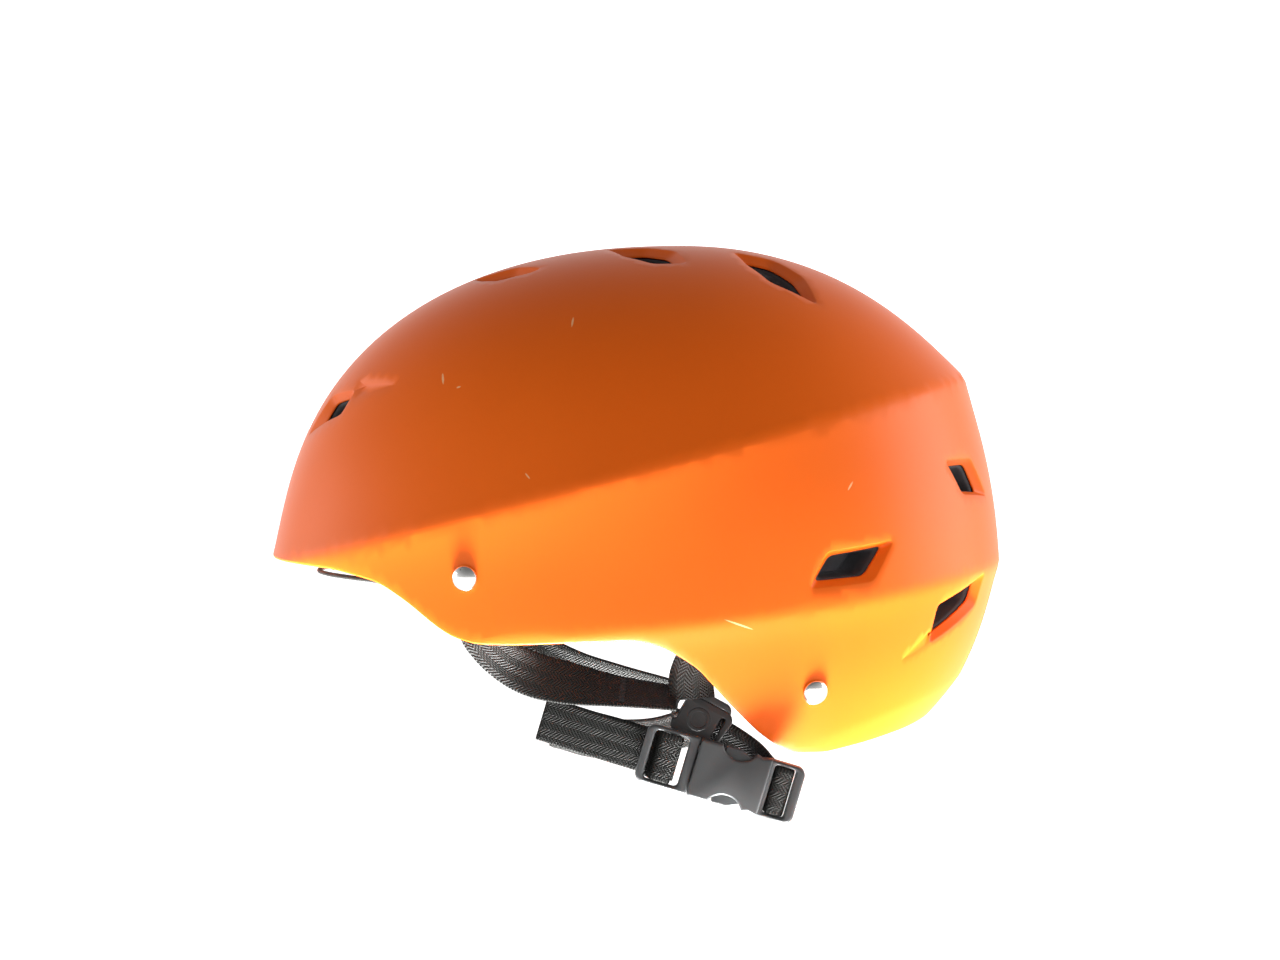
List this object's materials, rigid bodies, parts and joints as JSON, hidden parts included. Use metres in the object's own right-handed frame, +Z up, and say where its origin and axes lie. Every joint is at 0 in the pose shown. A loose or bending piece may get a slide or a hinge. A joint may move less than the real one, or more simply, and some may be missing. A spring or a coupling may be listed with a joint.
{
  "type": "water helmet",
  "caption": "Open-face water sports helmet: hard vented shell over a foam liner and pads, with riveted webbing and a side-release chin buckle.",
  "frame": {"origin": "middle of the head cavity at the height of the shell's brow rim, where the wearer's head sits", "axes": "+Z up to the crown, -Y to the front of the head, +X to the wearer's left"},
  "size_m": [0.2154, 0.2795, 0.2137],
  "materials": {
    "shell": "satin orange ABS, lightly scuffed",
    "liner": "closed-cell foam, fine pebbled skin",
    "pad_fabric": "brushed knit over soft foam",
    "hook_tape": "hook tape",
    "rivet": "polished nickel plate",
    "washer": "plain zinc-plated steel",
    "webbing": "herringbone polyester webbing",
    "divider": "moulded acetal",
    "buckle": "moulded acetal, fine spark texture"
  },
  "bodies": {
    "helmet": {"outer_shell": "shell", "foam_liner": "liner", "brow_pad": "pad_fabric", "crown_pad": "pad_fabric", "side_pad_left": "pad_fabric", "side_pad_right": "pad_fabric", "nape_pad": "pad_fabric", "pad_fasteners": "hook_tape", "strap_rivets": "rivet", "rivet_washers": "washer", "front_strap_left": "webbing", "front_strap_right": "webbing", "rear_strap_left": "webbing", "rear_strap_right": "webbing", "strap_divider_left": "divider", "strap_divider_right": "divider", "chin_strap_left": "webbing", "chin_strap_right": "webbing", "buckle_female": "buckle"},
    "buckle_plug": {"buckle_male": "buckle", "lock_wrap": "webbing"},
    "upper_prong": {"prong_upper": "buckle"},
    "lower_prong": {"prong_lower": "buckle"},
    "tail": {"strap_tail": "webbing"}
  },
  "joints": [
    {"name": "buckle_release", "type": "slide", "parent": "helmet", "child": "buckle_plug", "axis": [0, -0.9588, 0.284], "range_m": [0, 0.024], "deforming": ["chin_strap_right", "prong_upper", "prong_lower"]},
    {"name": "prong_squeeze_upper", "type": "hinge", "parent": "buckle_plug", "child": "upper_prong", "pos_m": [0.093, 0.02282, -0.06589], "axis": [-1, 0, 0], "range_deg": [0, 12], "stiffness_Nm_per_rad": 0.05},
    {"name": "prong_squeeze_lower", "type": "hinge", "parent": "buckle_plug", "child": "lower_prong", "pos_m": [0.093, 0.01878, -0.07951], "axis": [1, 0, 0], "range_deg": [0, 12], "stiffness_Nm_per_rad": 0.05},
    {"name": "strap_adjust", "type": "slide", "parent": "buckle_plug", "child": "tail", "axis": [0, -0.9588, 0.284], "range_m": [0, 0.015]}
  ],
  "couplings": [
    {"joint": "prong_squeeze_lower", "follows": "prong_squeeze_upper", "ratio": 1}
  ]
}
